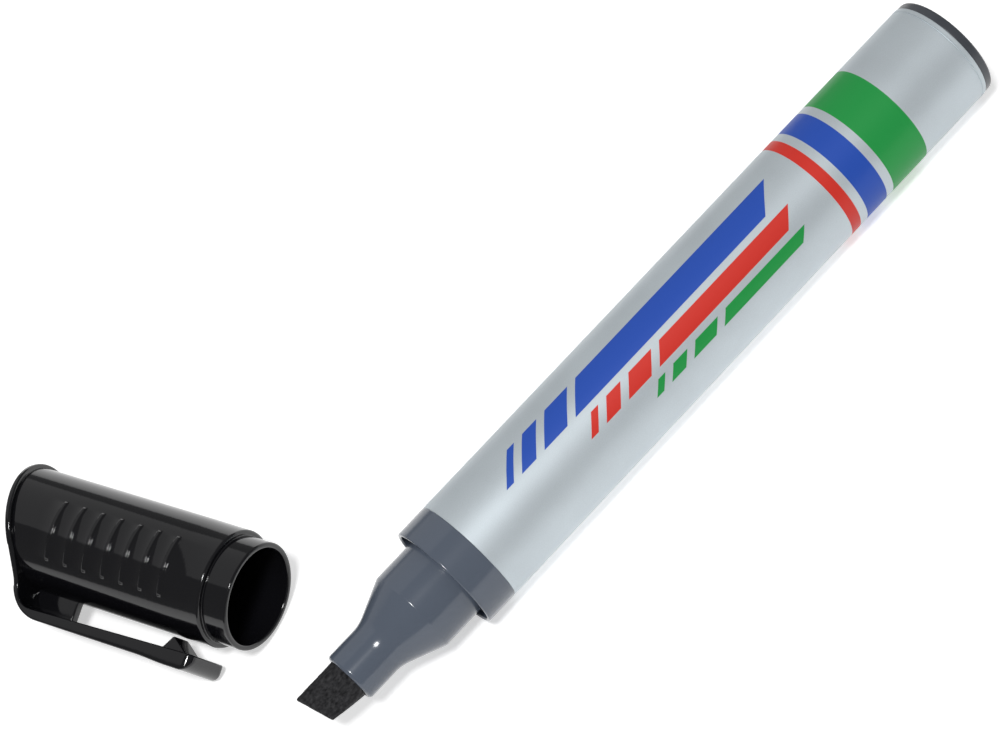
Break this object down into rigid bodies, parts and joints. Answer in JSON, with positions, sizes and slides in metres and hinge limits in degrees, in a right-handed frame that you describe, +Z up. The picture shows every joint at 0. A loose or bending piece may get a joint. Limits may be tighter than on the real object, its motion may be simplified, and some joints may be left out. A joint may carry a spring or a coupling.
{
  "type": "felt tip marker",
  "caption": "Chisel nib felt tip marker with a round aluminium barrel, a stepped dark plastic nose, and a black clip cap taken off and laid beside it.",
  "frame": {"origin": "centre of the rear plug's end face, on the barrel's axis", "axes": "+X along the barrel from the rear plug to the nib, +Z up from the table that the marker lies on"},
  "size_m": [0.1447, 0.0711, 0.0185],
  "materials": {
    "barrel_aluminium": "satin lacquered, with printed colour bands",
    "grey_plastic": "satin moulded",
    "slate_plastic": "semi-gloss moulded",
    "inked_felt": "bonded felt soaked with black ink",
    "inked_fibre": "fibre bundle soaked with black ink",
    "clear_film": "thin film",
    "black_plastic": "glossy moulded",
    "liner_plastic": "satin moulded"
  },
  "bodies": {
    "marker": {"barrel": "barrel_aluminium", "rear_plug": "grey_plastic", "front_holder": "slate_plastic", "nib": "inked_felt", "ink_reservoir": "inked_fibre", "reservoir_wrap": "clear_film"},
    "cap": {"cap_shell": "black_plastic", "inner_cap": "liner_plastic"}
  },
  "joints": [
    {"name": "cap_pull", "type": "slide", "parent": "marker", "child": "cap", "axis": [0.3355, -0.9421, 0], "range_m": [0, 0.0293]}
  ]
}
